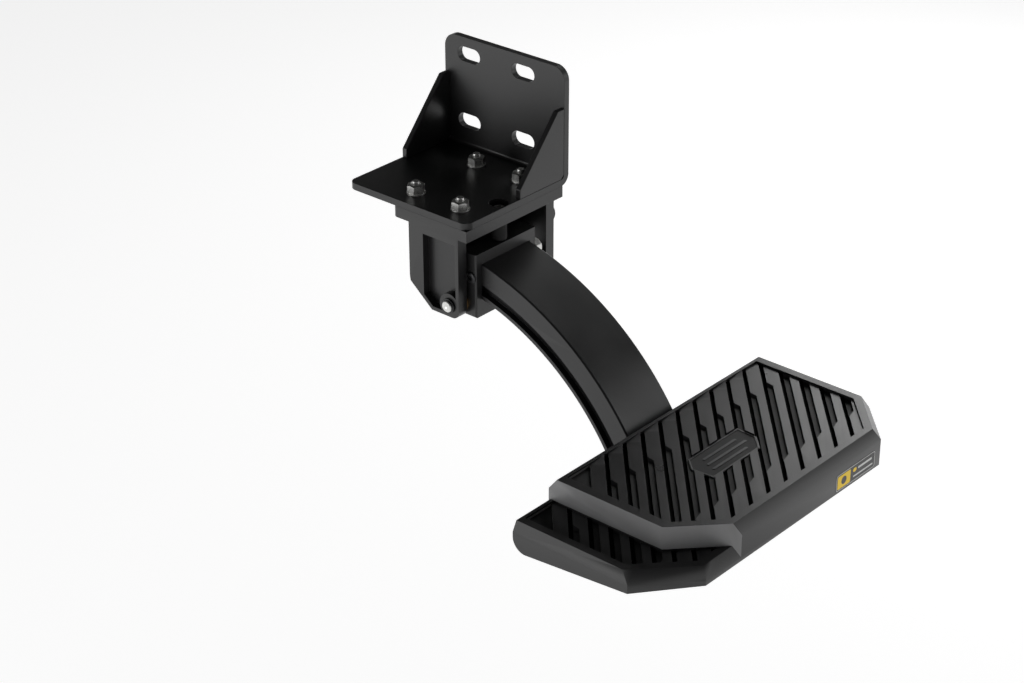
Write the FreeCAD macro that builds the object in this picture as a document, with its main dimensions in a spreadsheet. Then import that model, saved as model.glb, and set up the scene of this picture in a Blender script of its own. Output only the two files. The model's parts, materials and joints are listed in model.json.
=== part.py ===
import FreeCAD, Part
import math
import os
import re
import Sketcher
from FreeCAD import Placement, Rotation, Vector

doc = FreeCAD.newDocument("bumper_step")

# The row frame starts at the middle of the frame bracket's bolt pattern: +X to the vehicle's right,
# +Y forwards, +Z up. Every sub-part is drawn about the hinge axis and then moved to the pivot.
dimensions = {
    "pivot_x": -77, "pivot_y": -55, "pivot_z": -130,
    # hinge bracket
    "ear_left_outer": -49.5, "ear_thick": 10, "ear_right_inner": 59.5, "ear_rear": -10.6,
    "ear_front": 43.7, "ear_bottom": -10.4, "ear_slant_foot": 19.4, "ear_slant_top": 9,
    "ear_corner": 7, "rim_wide": 3.4, "rim_front": 28, "recess_deep": 7, "boss_radius": 10.4,
    "deck_under": 62, "deck_thick": 10, "deck_front": 62, "deck_rear": -20, "deck_corner": 6,
    "stop_y": -11, "wall_rear": 37.7, "wall_foot": 14,
    "deck_bolt_left": -30, "deck_bolt_right": 44, "deck_bolt_rear": 4, "deck_bolt_front": 53,
    "deck_bolt_radius": 4,
    # frame bracket
    "plate_thick": 6, "mount_face": 77, "bend_radius": 9, "shelf_front": 112, "upright_top": 175,
    "mount_pitch": 60, "mount_hole_radius": 6.5, "mount_slot_long": 25, "gusset_thick": 5,
    "plate_corner": 12, "shelf_corner": 8,
    # pivot
    "pin_radius": 5, "pin_left": -53.2, "pin_right": 73.2, "bush_radius": 7, "running_gap": 0.05,
    "bush_flange_radius": 10, "bush_flange_thick": 2.1, "bush_long": 18, "ring_radius": 6.4,
    # knuckle
    "knuckle_half": 37, "knuckle_rear": -18.5, "knuckle_bottom": -11, "knuckle_front": 13,
    "knuckle_top": 43, "lug_front": -4, "lug_top": 46, "lock_y": 20, "lock_z": 27,
    "lock_radius": 4, "lock_lug_thick": 8,
    # curved arm, drawn about the middle of its arc
    "arc_y": 35.3, "arc_z": -210.8, "arm_outer": 252.4, "arm_inner": 221.5, "arm_half": 29.7,
    "flange_thick": 3.4, "neck_top": 233.9, "neck_half": 24, "arm_sweep": 68, "arm_bevel": 1.2,
    "tongue_angle": 6.4, "flange_angle": 11.8, "socket_gap": 0.1,
    # step pad
    "pad_left": -168.5, "pad_right": 136.5, "pad_back": -174.3, "pad_front": -325.6,
    "pad_top": -57.1, "tier_left": -128.5, "tier_drop": 19.4, "bevel_in": 5, "bevel_down": 10.2,
    "bevel_back": 8, "side_bevel": 2, "chamfer_side": -284.3, "chamfer_run": 38,
    "low_chamfer_side": -279.3, "low_chamfer_run": 43, "chamfer_out": 7,
    "back_bottom": -104.1, "front_bottom": -90.6, "pad_wall": 5, "pad_skin": 6,
    "cover_thick": 3, "foot_thick": 6, "foot_half": 45, "foot_near": -152, "foot_far": -298,
    "bolt_half": 31, "bolt_near": -212, "bolt_far": -284, "bolt_radius": 4, "boss_wide": 10,
    "heel_radius": 12, "heel_wall": 12.5,
    # small parts
    "label_left": 38, "label_foot": -89, "label_wide": 54, "label_high": 15.4, "label_thick": 0.4,
    "plaque_sink": 3.7, "plaque_thick": 0.9,
}
sheet = doc.addObject("Spreadsheet::Sheet", "Sizes")
for row, (alias, value) in enumerate(dimensions.items(), start=1):
    sheet.set(f"A{row}", alias)
    sheet.set(f"B{row}", str(value))
    sheet.setAlias(f"B{row}", alias)
doc.recompute()

subparts = []


def linked(text):
    """An expression with each alias pointed at the sheet."""
    def point(word):
        return "Sizes." + word.group() if word.group() in dimensions else word.group()
    return re.sub(r"[a-z][a-z_]*", point, str(text))


def move(item, x="0", y="0", z="0"):
    for axis, text in zip("xyz", (x, y, z)):
        if str(text) != "0":
            item.setExpression(f"Placement.Base.{axis}", linked(text))


def hang(item, label, y="pivot_y", z="pivot_z"):
    """Give a finished sub-part its name and put its hinge axis on the pivot."""
    item.Label = label
    move(item, "pivot_x", y, z)
    subparts.append(item)
    return item


# ---- sketches and features ----
def new_body(label, y="pivot_y", z="pivot_z"):
    return hang(doc.addObject("PartDesign::Body", label), label, y, z)


def sketch_on(body, plane, shift="0"):
    drawing = body.newObject("Sketcher::SketchObject", "Sketch")
    base = next(item for item in body.Origin.OriginFeatures if item.Role == plane)
    drawing.AttachmentSupport = [(base, "")]
    drawing.MapMode = "FlatFace"
    if str(shift) != "0":
        drawing.setExpression("AttachmentOffset.Base.z", linked(shift))
    return drawing


def fix_point(drawing, shape, point, x, y):
    for kind, text in (("DistanceX", x), ("DistanceY", y)):
        number = drawing.addConstraint(Sketcher.Constraint(kind, -1, 1, shape, point, 1.0))
        drawing.setExpression(f"Constraints[{number}]", linked(text))


def outline(drawing, corners):
    """A closed outline through corners given as expressions."""
    first = drawing.GeometryCount
    count = len(corners)
    ring = [Vector(math.cos(6.28 * i / count), math.sin(6.28 * i / count), 0) for i in range(count)]
    for i in range(count):
        drawing.addGeometry(Part.LineSegment(ring[i], ring[(i + 1) % count]), False)
    for i in range(count):
        drawing.addConstraint(
            Sketcher.Constraint("Coincident", first + i, 2, first + (i + 1) % count, 1))
    for i, (x, y) in enumerate(corners):
        fix_point(drawing, first + i, 1, x, y)


def box_outline(drawing, x_low, x_high, y_low, y_high):
    outline(drawing, [(x_low, y_low), (x_high, y_low), (x_high, y_high), (x_low, y_high)])


def circle(drawing, x, y, radius):
    number = drawing.addGeometry(Part.Circle(Vector(1, 1, 0), Vector(0, 0, 1), 2), False)
    fix_point(drawing, number, 3, x, y)
    size = drawing.addConstraint(Sketcher.Constraint("Radius", number, 2.0))
    drawing.setExpression(f"Constraints[{size}]", linked(radius))


def pad(body, drawing, length, both=False, back=False):
    feature = body.newObject("PartDesign::Pad", "Pad")
    feature.Profile = drawing
    feature.SideType = "Symmetric" if both else "One side"
    feature.Reversed = back
    feature.setExpression("Length", linked(length))
    doc.recompute()
    return feature


def pocket(body, drawing, length=None, both=False, forward=False):
    """Cut a sketch out of its body, and make sure that the cut removed something."""
    before = body.Shape.Volume
    feature = body.newObject("PartDesign::Pocket", "Pocket")
    feature.Profile = drawing
    feature.SideType = "Symmetric" if both else "One side"
    feature.Reversed = forward
    if length is None:
        feature.Type = "ThroughAll"
    else:
        feature.setExpression("Length", linked(length))
    doc.recompute()
    if body.Shape.Volume > before - 0.01:
        raise RuntimeError(f"a pocket of {body.Label} cuts nothing")
    return feature


def near(value, size):
    """Whether a coordinate lies at a size, given by its name or as a number."""
    return abs(value - dimensions.get(size, size)) < 0.2


def soften(body, kind, radius, wanted):
    """Fillet or chamfer the edges whose middle point passes the test."""
    tip = body.Tip
    names = []
    for number, edge in enumerate(tip.Shape.Edges, start=1):
        if wanted(edge, edge.CenterOfMass):
            names.append(f"Edge{number}")
    feature = body.newObject("PartDesign::" + kind, kind)
    feature.Base = (tip, names)
    feature.setExpression("Radius" if kind == "Fillet" else "Size", linked(radius))
    doc.recompute()
    return feature


def upright(edge):
    return abs(edge.tangentAt(edge.FirstParameter).z) > 0.99


def crosswise(edge):
    return edge.Curve.TypeId == "Part::GeomLine" and abs(edge.tangentAt(edge.FirstParameter).x) > 0.99


# ---- turned and hexagonal parts ----
turns = {
    "x": Rotation(Vector(0, 1, 0), 90),
    "y": Rotation(Vector(1, 0, 0), -90),
    "z": Rotation(),
}


def rod(radius, length, x, y, z, along="x"):
    item = doc.addObject("Part::Cylinder", "Rod")
    item.Placement = Placement(Vector(), turns[along])
    item.setExpression("Radius", linked(radius))
    item.setExpression("Height", linked(length))
    move(item, x, y, z)
    return item


def hexagon(across, height, x, y, z, along="x"):
    item = doc.addObject("Part::Prism", "Hexagon")
    item.Polygon = 6
    item.Placement = Placement(Vector(), turns[along])
    item.setExpression("Circumradius", linked(f"({across}) / sqrt(3)"))
    item.setExpression("Height", linked(height))
    move(item, x, y, z)
    return item


def fuse(first, second):
    item = doc.addObject("Part::Fuse", "Fuse")
    item.Base = first
    item.Tool = second
    return item


def cut(base, tool):
    item = doc.addObject("Part::Cut", "Cut")
    item.Base = base
    item.Tool = tool
    return item


def tube(outer, inner, length, x, y, z, along="x"):
    return cut(rod(outer, length, x, y, z, along), rod(inner, length, x, y, z, along))


def group(label, items):
    item = doc.addObject("Part::Compound", label)
    item.Links = items
    return hang(item, label)


# ---- fixed parts on the vehicle ----
def make_hinge_bracket():
    body = new_body("hinge_bracket")
    ear = [
        ("ear_rear", "deck_under + 1"), ("ear_rear", "ear_bottom"),
        ("ear_slant_foot", "ear_bottom"), ("ear_front - 0.7", "ear_slant_top"),
        ("ear_front", "ear_slant_top + 5"), ("ear_front", "deck_under + 1"),
    ]
    for side in ("ear_left_outer", "ear_right_inner"):
        drawing = sketch_on(body, "YZ_Plane", side)
        outline(drawing, ear)
        if side == "ear_right_inner":
            break
        pad(body, drawing, "ear_thick")
        deck = sketch_on(body, "XY_Plane", "deck_under")
        box_outline(deck, "ear_left_outer", "ear_right_inner + ear_thick", "deck_rear", "deck_front")
        pad(body, deck, "deck_thick")
    pad(body, drawing, "ear_thick")
    wall = sketch_on(body, "XY_Plane", "wall_foot")
    box_outline(wall, "ear_left_outer + 1", "ear_right_inner + 1", "wall_rear", "ear_front")
    pad(body, wall, "deck_under - wall_foot + 1")
    recess = [
        ("ear_rear + rim_wide", "deck_under - 6"), ("ear_rear + rim_wide", "ear_bottom + rim_wide"),
        ("ear_slant_foot - 1.2", "ear_bottom + rim_wide"), ("rim_front", "1.2"),
        ("rim_front", "deck_under - 6"),
    ]
    for face, forward in (("ear_left_outer", True), ("ear_right_inner + ear_thick", False)):
        drawing = sketch_on(body, "YZ_Plane", face)
        outline(drawing, recess)
        pocket(body, drawing, "recess_deep", forward=forward)
        boss = sketch_on(body, "YZ_Plane", face)
        circle(boss, "0", "0", "boss_radius")
        pad(body, boss, "recess_deep + 1", back=not forward)
    lock_boss = sketch_on(body, "YZ_Plane", "ear_right_inner + 1")
    circle(lock_boss, "lock_y", "lock_z", "9")
    pad(body, lock_boss, "ear_thick - 1")
    bores = sketch_on(body, "YZ_Plane")
    circle(bores, "0", "0", "pin_radius")
    pocket(body, bores, both=True)
    lock_bore = sketch_on(body, "YZ_Plane", "ear_right_inner - 1")
    circle(lock_bore, "lock_y", "lock_z", "lock_radius + running_gap")
    pocket(body, lock_bore, "ear_thick + 2", forward=True)
    holes = sketch_on(body, "XY_Plane", "deck_under - 1")
    for x in ("deck_bolt_left", "deck_bolt_right"):
        for y in ("deck_bolt_rear", "deck_bolt_front"):
            circle(holes, x, y, "deck_bolt_radius + 0.3")
    circle(holes, "0", "stop_y", "3")
    pocket(body, holes, "deck_thick + 2", forward=True)
    screws = sketch_on(body, "XZ_Plane")
    for x in ("-8", "8"):
        circle(screws, x, "22", "2.5")
    pocket(body, screws, both=True)
    soften(body, "Fillet", "ear_corner", lambda edge, middle: crosswise(edge)
           and near(middle.y, "ear_rear") and near(middle.z, "ear_bottom"))
    soften(body, "Fillet", "deck_corner", lambda edge, middle: upright(edge)
           and middle.z > dimensions["deck_under"] and near(middle.y, "deck_front"))


def make_frame_bracket():
    body = new_body("frame_bracket")
    drawing = sketch_on(body, "XZ_Plane", "-deck_rear")
    shelf = "deck_under + deck_thick"
    outline(drawing, [
        ("ear_left_outer", shelf), ("mount_face", shelf), ("mount_face", "upright_top"),
        ("mount_face - plate_thick", "upright_top"),
        ("mount_face - plate_thick", f"{shelf} + plate_thick"),
        ("ear_left_outer", f"{shelf} + plate_thick"),
    ])
    pad(body, drawing, "shelf_front - deck_rear", back=True)
    thick = dimensions["plate_thick"]
    face, shelf = dimensions["mount_face"], dimensions["deck_under"] + dimensions["deck_thick"]
    soften(body, "Fillet", "bend_radius", lambda edge, middle:
           near(middle.x, face) and near(middle.z, shelf))
    soften(body, "Fillet", "bend_radius - plate_thick", lambda edge, middle:
           near(middle.x, face - thick) and near(middle.z, shelf + thick))
    middles = [(y, z) for y in ("-pivot_y - mount_pitch / 2", "-pivot_y + mount_pitch / 2")
               for z in ("-pivot_z - mount_pitch / 2", "-pivot_z + mount_pitch / 2")]
    reach = "mount_slot_long / 2 - mount_hole_radius"
    slots = [sketch_on(body, "YZ_Plane", "mount_face - plate_thick - 2") for _ in range(3)]
    for y, z in middles:
        box_outline(slots[0], f"{y} - ({reach})", f"{y} + {reach}",
                    f"{z} - mount_hole_radius", f"{z} + mount_hole_radius")
        circle(slots[1], f"{y} - ({reach})", z, "mount_hole_radius")
        circle(slots[2], f"{y} + {reach}", z, "mount_hole_radius")
    for drawing in slots:
        pocket(body, drawing, "plate_thick + 4", forward=True)
    holes = sketch_on(body, "XY_Plane", f"{shelf} - 2")
    for x in ("deck_bolt_left", "deck_bolt_right"):
        for y in ("deck_bolt_rear", "deck_bolt_front"):
            circle(holes, x, y, "deck_bolt_radius + 0.3")
    circle(holes, "0", "stop_y", "8")
    pocket(body, holes, "plate_thick + 4", forward=True)
    soften(body, "Fillet", "plate_corner", lambda edge, middle:
           crosswise(edge) and near(middle.z, "upright_top"))
    soften(body, "Fillet", "shelf_corner", lambda edge, middle:
           upright(edge) and near(middle.x, "ear_left_outer"))


def make_gussets():
    shelf = "deck_under + deck_thick + plate_thick"
    wall = "mount_face - plate_thick"
    items = []
    for y in ("deck_rear", "shelf_front - gusset_thick"):
        wedge = doc.addObject("PartDesign::Body", "Gusset")
        drawing = sketch_on(wedge, "XZ_Plane", f"-({y})")
        outline(drawing, [
            (f"{wall} - 55", shelf), (f"{wall} - 3.2", shelf), (wall, f"{shelf} + 3.2"),
            (wall, f"{shelf} + 62"), (f"{wall} - 8", f"{shelf} + 62"), (f"{wall} - 55", f"{shelf} + 8"),
        ])
        pad(wedge, drawing, "gusset_thick", back=True)
        items.append(wedge)
    group("frame_gussets", items)


def make_deck_fasteners():
    places = [(x, y) for x in ("deck_bolt_left", "deck_bolt_right")
              for y in ("deck_bolt_rear", "deck_bolt_front")]
    top = "deck_under + deck_thick + plate_thick"
    bolts = []
    for x, y in places:
        shank = rod("deck_bolt_radius", "deck_thick + plate_thick + 11", x, y, "deck_under", "z")
        bolts.append(fuse(shank, hexagon("13", "5.3", x, y, "deck_under - 5.3", "z")))
    group("bracket_bolts", bolts)
    group("bracket_washers", [
        tube("8", "deck_bolt_radius", "1.6", x, y, top, "z") for x, y in places])
    nuts = [cut(hexagon("13", "6.5", x, y, f"{top} + 1.6", "z"),
                rod("deck_bolt_radius", "6.5", x, y, f"{top} + 1.6", "z")) for x, y in places]
    group("bracket_nuts", nuts)


def make_stops():
    rest = "lug_top + 0.4"
    block = tube("6.5", "3", f"deck_under - ({rest})", "0", "stop_y", rest, "z")
    group("deploy_stop", [block])
    group("deploy_stop_screw", [fuse(
        rod("3", "deck_thick + 6", "0", "stop_y", "deck_under - 6", "z"),
        rod("5.2", "3", "0", "stop_y", "deck_under + deck_thick", "z"))])
    body = new_body("stow_stop")
    drawing = sketch_on(body, "YZ_Plane")
    outline(drawing, [
        ("wall_rear", "-10.4"), ("wall_rear", "30"), ("wall_rear - 8", "30"),
        ("wall_rear - 8", "-6"), ("wall_rear - 5", "-10.4"),
    ])
    pad(body, drawing, "32", both=True)
    holes = sketch_on(body, "XZ_Plane")
    for x in ("-8", "8"):
        circle(holes, x, "22", "2.5")
    pocket(body, holes, both=True)
    group("stow_stop_screws", [fuse(
        rod("2.5", "ear_front - wall_rear + 6", x, "wall_rear - 6", "22", "y"),
        rod("4.5", "2.8", x, "ear_front", "22", "y")) for x in ("-8", "8")])


def make_pivot():
    body = new_body("pivot_pin")
    drawing = sketch_on(body, "YZ_Plane", "pin_left")
    circle(drawing, "0", "0", "pin_radius")
    pad(body, drawing, "pin_right - pin_left")
    soften(body, "Chamfer", "0.8", lambda edge, middle: edge.Curve.TypeId == "Part::GeomCircle")
    inner = "pin_radius + 0.02"
    group("pivot_rings", [
        tube("ring_radius", inner, "1.7", "ear_left_outer - 1.7", "0", "0"),
        tube("ring_radius", inner, "1.7", "ear_right_inner + ear_thick", "0", "0"),
    ])
    group("spring_spacer", [tube("bush_radius + 0.6", inner, "19.6",
                                 "ear_right_inner - 19.9", "0", "0")])


# ---- the swinging step ----
cross_bolts = [("-13.5", "25"), ("0", "30")]
peg_place = ("-14.7", "-5.5")
cover_screws = [("-150", "-20"), ("-150", "-98"), ("-58", "-139"),
                ("62", "-139"), ("122", "-98"), ("122", "-20")]
slope = "atan((front_bottom - back_bottom) / (pad_back - pad_front))"


def arc_sketch(body, angle):
    """A sketch through the arm's arc centre, its vertical leaning back by the angle."""
    drawing = sketch_on(body, "XZ_Plane")
    drawing.AttachmentOffset = Placement(Vector(), Rotation(Vector(1, 0, 0), 10))
    drawing.setExpression("AttachmentOffset.Base.y", linked("arc_z"))
    drawing.setExpression("AttachmentOffset.Base.z", linked("-arc_y"))
    drawing.setExpression("AttachmentOffset.Rotation.Angle", linked(angle))
    return drawing


def turn(body, drawing, kind, angle):
    feature = body.newObject("PartDesign::" + kind, kind)
    feature.Profile = drawing
    feature.ReferenceAxis = (drawing, ["H_Axis"])
    feature.setExpression("Angle", linked(angle))
    doc.recompute()
    return feature


def make_knuckle():
    body = new_body("knuckle")
    drawing = sketch_on(body, "YZ_Plane")
    outline(drawing, [
        ("knuckle_rear", "knuckle_bottom"), ("0", "knuckle_bottom"), ("7", "knuckle_bottom + 2"),
        ("11.5", "knuckle_bottom + 7"), ("knuckle_front", "3"), ("knuckle_front", "knuckle_top"),
        ("lug_front", "knuckle_top"), ("lug_front", "lug_top"), ("knuckle_rear", "lug_top"),
    ])
    pad(body, drawing, "2 * knuckle_half", both=True)
    soften(body, "Chamfer", "1.2", lambda edge, middle: near(abs(middle.x), "knuckle_half")
           and middle.z < dimensions["lock_z"] and middle.y < dimensions["knuckle_front"] - 1)
    lug = sketch_on(body, "YZ_Plane", "knuckle_half - lock_lug_thick")
    outline(lug, [
        ("knuckle_front - 1", "10"), ("knuckle_front + 2", "12"), ("lock_y + 8", "lock_z - 4"),
        ("lock_y + 8", "lock_z + 5"), ("lock_y + 3", "lock_z + 9"),
        ("knuckle_front - 1", "lock_z + 9"),
    ])
    pad(body, lug, "lock_lug_thick")
    hole = sketch_on(body, "YZ_Plane", "knuckle_half - lock_lug_thick - 1")
    circle(hole, "lock_y", "lock_z", "lock_radius + running_gap")
    pocket(body, hole, "lock_lug_thick + 2", forward=True)
    bores = sketch_on(body, "YZ_Plane")
    circle(bores, "0", "0", "bush_radius")
    for y, z in cross_bolts:
        circle(bores, y, z, "4")
    pocket(body, bores, both=True)
    peg_hole = sketch_on(body, "YZ_Plane", "knuckle_half - 6")
    circle(peg_hole, *peg_place, "2.5")
    pocket(body, peg_hole, "8", forward=True)
    half = "arm_half + socket_gap"
    tongue = arc_sketch(body, "tongue_angle - 0.05")
    box_outline(tongue, f"-({half})", half, "neck_top - socket_gap", "arm_outer + socket_gap")
    turn(body, tongue, "Groove", "20")
    flange = arc_sketch(body, "flange_angle - 0.05")
    box_outline(flange, f"-({half})", half, "arm_inner - socket_gap", "neck_top + 1")
    turn(body, flange, "Groove", "20")


def make_arm():
    body = new_body("curved_arm")
    web = arc_sketch(body, "tongue_angle")
    outline(web, [
        ("-arm_half", "neck_top"), ("arm_half", "neck_top"), ("arm_half", "arm_outer - arm_bevel"),
        ("arm_half - arm_bevel", "arm_outer"), ("arm_bevel - arm_half", "arm_outer"),
        ("-arm_half", "arm_outer - arm_bevel"),
    ])
    turn(body, web, "Revolution", "arm_sweep - tongue_angle")
    flange = arc_sketch(body, "flange_angle")
    top = "arm_inner + flange_thick"
    outline(flange, [
        ("-arm_half", "arm_inner"), ("arm_half", "arm_inner"), ("arm_half", top),
        ("neck_half", top), ("neck_half", "neck_top + 1"), ("-neck_half", "neck_top + 1"),
        ("-neck_half", top), ("-arm_half", top),
    ])
    turn(body, flange, "Revolution", "arm_sweep - flange_angle")
    foot = sketch_on(body, "YZ_Plane")
    outline(foot, [("pad_back + 40", f"back_bottom - 40 * tan({slope})"),
                   ("pad_front", "front_bottom"), ("pad_front", "-240"), ("pad_back + 40", "-240")])
    pocket(body, foot, both=True)
    holes = sketch_on(body, "YZ_Plane")
    for y, z in cross_bolts:
        circle(holes, y, z, "4")
    pocket(body, holes, both=True)


def make_cross_bolts():
    bolts = []
    for y, z in cross_bolts:
        shank = rod("4", "2 * knuckle_half + 8", "-knuckle_half", y, z)
        bolts.append(fuse(shank, rod("5", "1.8", "-knuckle_half - 1.8", y, z)))
    group("arm_bolts", bolts)
    group("arm_nuts", [cut(hexagon("13", "6.5", "knuckle_half", y, z),
                           rod("4", "6.5", "knuckle_half", y, z)) for y, z in cross_bolts])


def make_bushings():
    items = []
    for x, flange in (("-knuckle_half", "-knuckle_half - bush_flange_thick"),
                      ("knuckle_half - bush_long", "knuckle_half")):
        sleeve = rod("bush_radius", "bush_long", x, "0", "0")
        collar = rod("bush_flange_radius", "bush_flange_thick", flange, "0", "0")
        bore = rod("pin_radius + running_gap", "bush_long + 10", f"{x} - 5", "0", "0")
        items.append(cut(fuse(sleeve, collar), bore))
    group("pivot_bushings", items)


def make_return_spring():
    group("return_spring", [tube("12.6", "9.1", "18.4", "ear_right_inner - 19.2", "0", "0")])
    group("spring_peg", [rod("2.5", "18", "knuckle_half - 6", *peg_place)])


def make_lock():
    nose = "knuckle_half + 1.2"
    y, z = "lock_y", "lock_z"
    plunger = fuse(rod("lock_radius", "50", nose, y, z), rod("7", "3", f"{nose} + 8", y, z))
    group("lock_plunger", [plunger])
    knob = cut(rod("9", "12", f"{nose} + 48", y, z), rod("lock_radius", "2", f"{nose} + 48", y, z))
    group("lock_knob", [knob])
    group("lock_spring", [tube("6.4", "4.6", f"ear_right_inner - ({nose}) - 11.6",
                               f"{nose} + 11.3", y, z)])
    group("lock_collar", [tube("7.5", "lock_radius + running_gap", "7",
                               "ear_right_inner + ear_thick", y, z)])


# ---- step pad ----
def low_outer(inset="0", heel=None):
    """The whole pad seen from above, at its widest, optionally drawn in all round.

    The back edge, where the rounded heel runs, can be drawn in further than the rest."""
    diagonal = f"({inset}) * 0.414"
    left, right = f"pad_left - side_bevel + {inset}", f"pad_right - ({inset})"
    back, front = f"pad_back - ({heel or inset})", f"pad_front + {inset}"
    low = "low_chamfer_side - side_bevel - chamfer_out * 0.6"
    return [
        (left, back), (left, f"{low} + {diagonal}"),
        (f"pad_left + low_chamfer_run - 3 + {diagonal}", front),
        (f"pad_right - chamfer_run + 0.5 - ({diagonal})", front),
        (right, f"chamfer_side - bevel_in + {diagonal}"), (right, back),
    ]


def low_top():
    return [
        ("pad_left", "pad_back - side_bevel"), ("pad_left", "low_chamfer_side"),
        ("pad_left + low_chamfer_run", "pad_front + bevel_in"),
        ("pad_right - chamfer_run - bevel_in", "pad_front + bevel_in"),
        ("pad_right - bevel_in", "chamfer_side"), ("pad_right - bevel_in", "pad_back - side_bevel"),
    ]


def high_outer(inset="0", heel=None):
    diagonal = f"({inset}) * 0.414"
    back = f"pad_back - ({heel or inset})"
    return [
        (f"tier_left + {inset}", back),
        (f"tier_left + {inset}", f"chamfer_side + {diagonal}"),
        (f"tier_left + chamfer_run + bevel_in + {diagonal}", f"pad_front + {inset}"),
        (f"pad_right - chamfer_run + 0.5 - ({diagonal})", f"pad_front + {inset}"),
        (f"pad_right - ({inset})", f"chamfer_side - bevel_in + {diagonal}"),
        (f"pad_right - ({inset})", back),
    ]


def high_top():
    return [
        ("tier_left", "pad_back - bevel_back"), ("tier_left", "chamfer_side"),
        ("tier_left + chamfer_run", "pad_front + bevel_in"),
        ("pad_right - bevel_in - chamfer_run", "pad_front + bevel_in"),
        ("pad_right - bevel_in", "chamfer_side"), ("pad_right - bevel_in", "pad_back - bevel_back"),
    ]


def tilted_sketch(body):
    """A sketch on the pad's sloping underside, measured from its back edge."""
    drawing = sketch_on(body, "XY_Plane")
    drawing.AttachmentOffset = Placement(Vector(), Rotation(Vector(1, 0, 0), -5))
    drawing.setExpression("AttachmentOffset.Base.y", linked("pad_back"))
    drawing.setExpression("AttachmentOffset.Base.z", linked("back_bottom"))
    drawing.setExpression("AttachmentOffset.Rotation.Angle", linked(f"-{slope}"))
    return drawing


def bevelled(body, wide, narrow, foot, shoulder, top):
    base = sketch_on(body, "XY_Plane", foot)
    outline(base, wide)
    pad(body, base, f"{shoulder} - ({foot})")
    low = sketch_on(body, "XY_Plane", shoulder)
    outline(low, wide)
    high = sketch_on(body, "XY_Plane", top)
    outline(high, narrow)
    feature = body.newObject("PartDesign::AdditiveLoft", "Bevel")
    feature.Profile = low
    feature.Sections = [high]
    feature.Ruled = True
    doc.recompute()


def from_back(corners):
    """The same corners with Y measured from the pad's back edge."""
    return [(x, f"{y} - pad_back") for x, y in corners]


def trim_underside(body):
    """Cut away what hangs below the pad's sloping underside."""
    wedge = sketch_on(body, "YZ_Plane")
    outline(wedge, [("pad_back", "back_bottom"), ("pad_front", "front_bottom"),
                    ("pad_front - 9", "front_bottom"), ("pad_front - 9", "back_bottom - 9"),
                    ("pad_back + 9", "back_bottom - 9"), ("pad_back + 9", "back_bottom")])
    pocket(body, wedge, both=True)


def make_pad():
    body = new_body("step_pad")
    low = "pad_top - tier_drop"
    bevelled(body, low_outer(), low_top(), "back_bottom - 2", f"{low} - bevel_down", low)
    bevelled(body, high_outer(), high_top(), "back_bottom - 2", "pad_top - bevel_down", "pad_top")
    trim_underside(body)
    soften(body, "Fillet", "heel_radius", lambda edge, middle: crosswise(edge)
           and near(middle.y, "pad_back") and middle.z < dimensions["front_bottom"])
    for corners, roof in ((low_outer("pad_wall", "heel_wall"), f"{low} - pad_skin"),
                          (high_outer("pad_wall", "heel_wall"), "pad_top - pad_skin")):
        hollow = sketch_on(body, "XY_Plane", "back_bottom - 3")
        outline(hollow, corners)
        pocket(body, hollow, f"{roof} - back_bottom + 3", forward=True)
    low_screws, high_screws = cover_screws[:2], cover_screws[2:]
    for places, radius, roof in ((foot_bolts, "boss_wide", "pad_top"),
                                 (high_screws, "6", "pad_top"), (low_screws, "6", low)):
        bosses = sketch_on(body, "XY_Plane", "back_bottom - 1")
        for x, y in places:
            circle(bosses, x, f"{y} + pad_back", radius)
        pad(body, bosses, f"{roof} - pad_skin - back_bottom + 2")
    trim_underside(body)
    seat = tilted_sketch(body)
    outline(seat, from_back(low_outer("3", "heel_wall")))
    pocket(body, seat, "cover_thick", forward=True)
    holes = tilted_sketch(body)
    for x, y in foot_bolts:
        circle(holes, x, y, "bolt_radius")
    for x, y in cover_screws:
        circle(holes, x, y, "2")
    pocket(body, holes, "14", forward=True)
    notch = sketch_on(body, "XZ_Plane", "-pad_back - 2")
    box_outline(notch, "-arm_half - 1.8", "arm_half + 1.8", "back_bottom - 5", "-68")
    pocket(body, notch, "24", forward=True)
    recess = sketch_on(body, "XY_Plane", "pad_top")
    outline(recess, plaque_outline)
    pocket(body, recess, "plaque_sink")
    soften(body, "Fillet", "4", lambda edge, middle: upright(edge) and edge.Length > 5
           and (middle.x < dimensions["pad_left"] + 3 or middle.x > dimensions["pad_right"] - 6)
           and middle.y > dimensions["pad_back"] - 2)


foot_bolts = [("-bolt_half", "bolt_near - pad_back"), ("bolt_half", "bolt_near - pad_back"),
              ("-bolt_half", "bolt_far - pad_back"), ("bolt_half", "bolt_far - pad_back")]
plaque_outline = [("-46", "-247"), ("-36", "-236"), ("29", "-236"), ("28", "-256"),
                  ("16", "-268"), ("-44", "-268")]


def make_pad_trim():
    plaque = new_body("pad_plaque")
    drawing = sketch_on(plaque, "XY_Plane", "pad_top - plaque_sink")
    outline(drawing, plaque_outline)
    pad(plaque, drawing, "plaque_thick")
    label = doc.addObject("Part::Box", "Label")
    for side, text in (("Length", "label_wide"), ("Width", "label_thick"), ("Height", "label_high")):
        label.setExpression(side, linked(text))
    move(label, "label_left", "pad_front - label_thick", "label_foot")
    group("warning_label", [label])


def lean(item):
    """Lay a sub-part drawn flat along the pad's sloping underside."""
    item.Placement = Placement(Vector(), Rotation(Vector(1, 0, 0), -5))
    item.setExpression("Placement.Rotation.Angle", linked(f"-{slope}"))
    move(item, "pivot_x", "pivot_y + pad_back", "pivot_z + back_bottom")
    return item


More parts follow.
